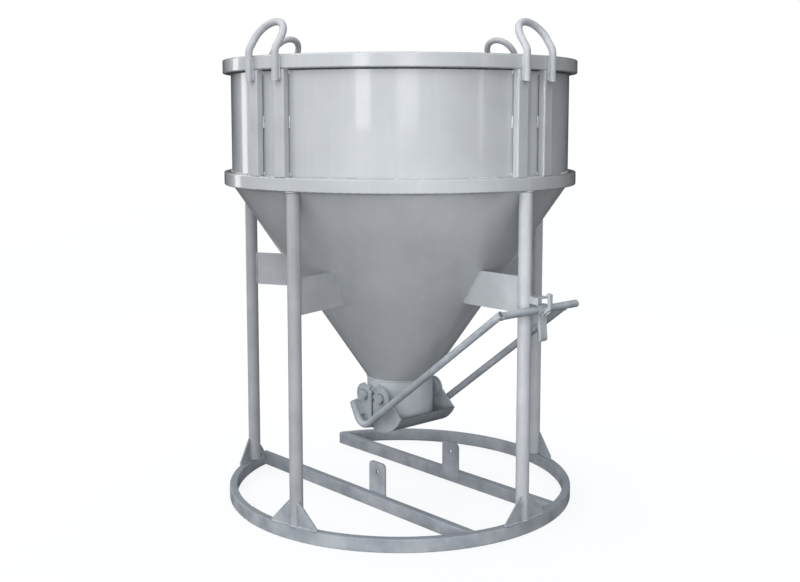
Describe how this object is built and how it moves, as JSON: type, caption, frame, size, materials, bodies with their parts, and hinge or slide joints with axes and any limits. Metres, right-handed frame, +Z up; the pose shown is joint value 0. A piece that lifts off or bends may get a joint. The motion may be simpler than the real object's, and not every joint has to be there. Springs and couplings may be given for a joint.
{
  "type": "concrete bucket",
  "caption": "Crane bucket for fresh concrete: open round hopper on a ring frame with lifting loops, and a geared clamshell gate worked by a long lever with a catch.",
  "frame": {"origin": "on the ground, under the hopper's axis", "axes": "+Z up along the hopper's axis, +X towards the lever's handle, +Y to the left of someone who looks along +X"},
  "size_m": [1.4362, 1.4001, 1.8163],
  "materials": {
    "paint": "satin",
    "steel": "satin"
  },
  "bodies": {
    "frame": {"shell": "paint", "rim_band": "paint", "mid_band": "paint", "cone": "paint", "outlet_neck": "paint", "uprights_front": "paint", "uprights_left": "paint", "uprights_rear": "paint", "uprights_right": "paint", "loop_front": "paint", "loop_left": "paint", "loop_rear": "paint", "loop_right": "paint", "leg_front": "paint", "leg_left": "paint", "leg_rear": "paint", "leg_right": "paint", "leg_plate_front": "paint", "leg_plate_left": "paint", "leg_plate_rear": "paint", "leg_plate_right": "paint", "gussets_front": "paint", "gussets_left": "paint", "gussets_rear": "paint", "gussets_right": "paint", "base_ring": "paint", "chord_left": "paint", "chord_right": "paint", "tab_left": "paint", "tab_right": "paint", "pivot_plate_left": "paint", "pivot_plate_right": "paint", "pivot_pins": "steel", "pivot_washers": "steel", "pivot_nuts": "steel", "latch_bracket": "paint"},
    "rear_jaw": {"rear_jaw_pan": "paint", "rear_jaw_plate_left": "paint", "rear_jaw_plate_right": "paint", "lever_packers": "paint", "lever_arm_left": "paint", "lever_arm_right": "paint", "lever_crossbar": "paint", "latch_collars": "paint"},
    "front_jaw": {"front_jaw_pan": "paint", "front_jaw_plate_left": "paint", "front_jaw_plate_right": "paint"},
    "latch": {"latch_sleeve": "paint", "latch_hook": "paint"}
  },
  "joints": [
    {"name": "lever_pivot", "type": "hinge", "parent": "frame", "child": "rear_jaw", "pos_m": [-0.047, 0, 0.398], "axis": [0, 1, 0], "range_deg": [0, 48]},
    {"name": "front_jaw_pivot", "type": "hinge", "parent": "frame", "child": "front_jaw", "pos_m": [0.047, 0, 0.398], "axis": [0, 1, 0], "range_deg": [-48, 0]},
    {"name": "latch_pivot", "type": "hinge", "parent": "rear_jaw", "child": "latch", "pos_m": [0.69, 0.044, 0.80995], "axis": [0, 1, 0], "range_deg": [-12, 60]}
  ],
  "couplings": [
    {"joint": "front_jaw_pivot", "follows": "lever_pivot", "ratio": -1}
  ]
}
